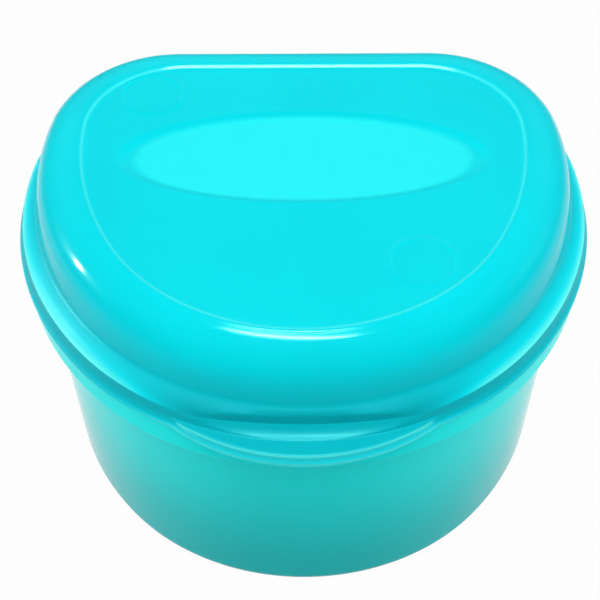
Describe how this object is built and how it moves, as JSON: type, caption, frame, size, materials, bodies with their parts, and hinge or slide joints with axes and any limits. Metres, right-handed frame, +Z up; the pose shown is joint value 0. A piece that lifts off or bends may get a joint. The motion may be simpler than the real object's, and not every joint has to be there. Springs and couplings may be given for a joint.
{
  "type": "denture case",
  "caption": "D-shaped denture case: drafted cup with rim and a domed lid with blank oval recess and thumb tab, hinged on the straight back.",
  "frame": {"origin": "centre of the case's footprint, on the table", "axes": "+Z up, the thumb tab along -Y, the hinge pivot along X at the back"},
  "size_m": [0.092, 0.0918, 0.057],
  "materials": {
    "cup": "glossy turquoise polypropylene, slightly translucent",
    "lid": "glossy turquoise polypropylene, slightly translucent"
  },
  "bodies": {
    "cup": {"cup": "cup"},
    "lid": {"lid": "lid"}
  },
  "joints": [
    {"name": "lid_hinge", "type": "hinge", "parent": "cup", "child": "lid", "pos_m": [0, 0.04113, 0.041], "axis": [-1, 0, 0], "range_deg": [0, 120]}
  ]
}
